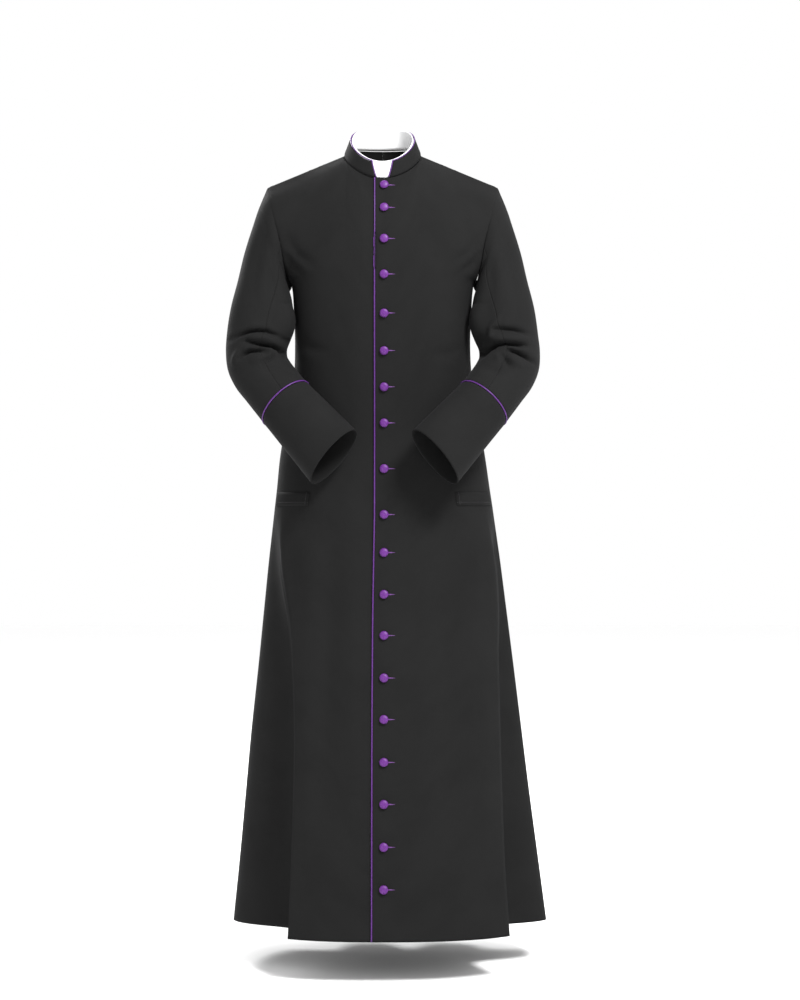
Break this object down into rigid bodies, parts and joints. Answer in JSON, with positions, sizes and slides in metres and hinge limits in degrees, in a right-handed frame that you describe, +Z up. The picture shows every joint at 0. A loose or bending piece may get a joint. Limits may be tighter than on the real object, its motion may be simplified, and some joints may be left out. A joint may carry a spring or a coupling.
{
  "type": "cassock",
  "caption": "Full-length black clerical cassock, worn and hollow, with piped front, standing collar with a white insert, domed buttons, bent sleeves with deep piped cuffs and pocket welts.",
  "frame": {"origin": "centre of the neck base, at the height of the shoulder-neck points", "axes": "+Z up, fronts face -Y, +X to the wearer's left"},
  "size_m": [0.605, 0.4912, 1.5137],
  "materials": {
    "wool_cloth": "matt black wool-blend twill with a faint sheen",
    "purple_piping": "satin-covered cord",
    "purple_button_cloth": "satin-covered domes",
    "white_collar": "smooth starched white band"
  },
  "bodies": {
    "root": {"front_left": "wool_cloth", "front_right": "wool_cloth", "back_left": "wool_cloth", "back_right": "wool_cloth", "sleeve_upper_left": "wool_cloth", "sleeve_under_left": "wool_cloth", "sleeve_upper_right": "wool_cloth", "sleeve_under_right": "wool_cloth", "cuff_left": "wool_cloth", "cuff_right": "wool_cloth", "collar": "wool_cloth", "pocket_welt_left": "wool_cloth", "pocket_welt_right": "wool_cloth", "collar_piping": "purple_piping", "front_edge_piping": "purple_piping", "cuff_piping_left": "purple_piping", "cuff_piping_right": "purple_piping", "button_01": "purple_button_cloth", "button_02": "purple_button_cloth", "button_03": "purple_button_cloth", "button_04": "purple_button_cloth", "button_05": "purple_button_cloth", "button_06": "purple_button_cloth", "button_07": "purple_button_cloth", "button_08": "purple_button_cloth", "button_09": "purple_button_cloth", "button_10": "purple_button_cloth", "button_11": "purple_button_cloth", "button_12": "purple_button_cloth", "button_13": "purple_button_cloth", "button_14": "purple_button_cloth", "button_15": "purple_button_cloth", "button_16": "purple_button_cloth", "button_17": "purple_button_cloth", "button_18": "purple_button_cloth", "button_19": "purple_button_cloth", "collar_insert": "white_collar"}
  },
  "joints": []
}
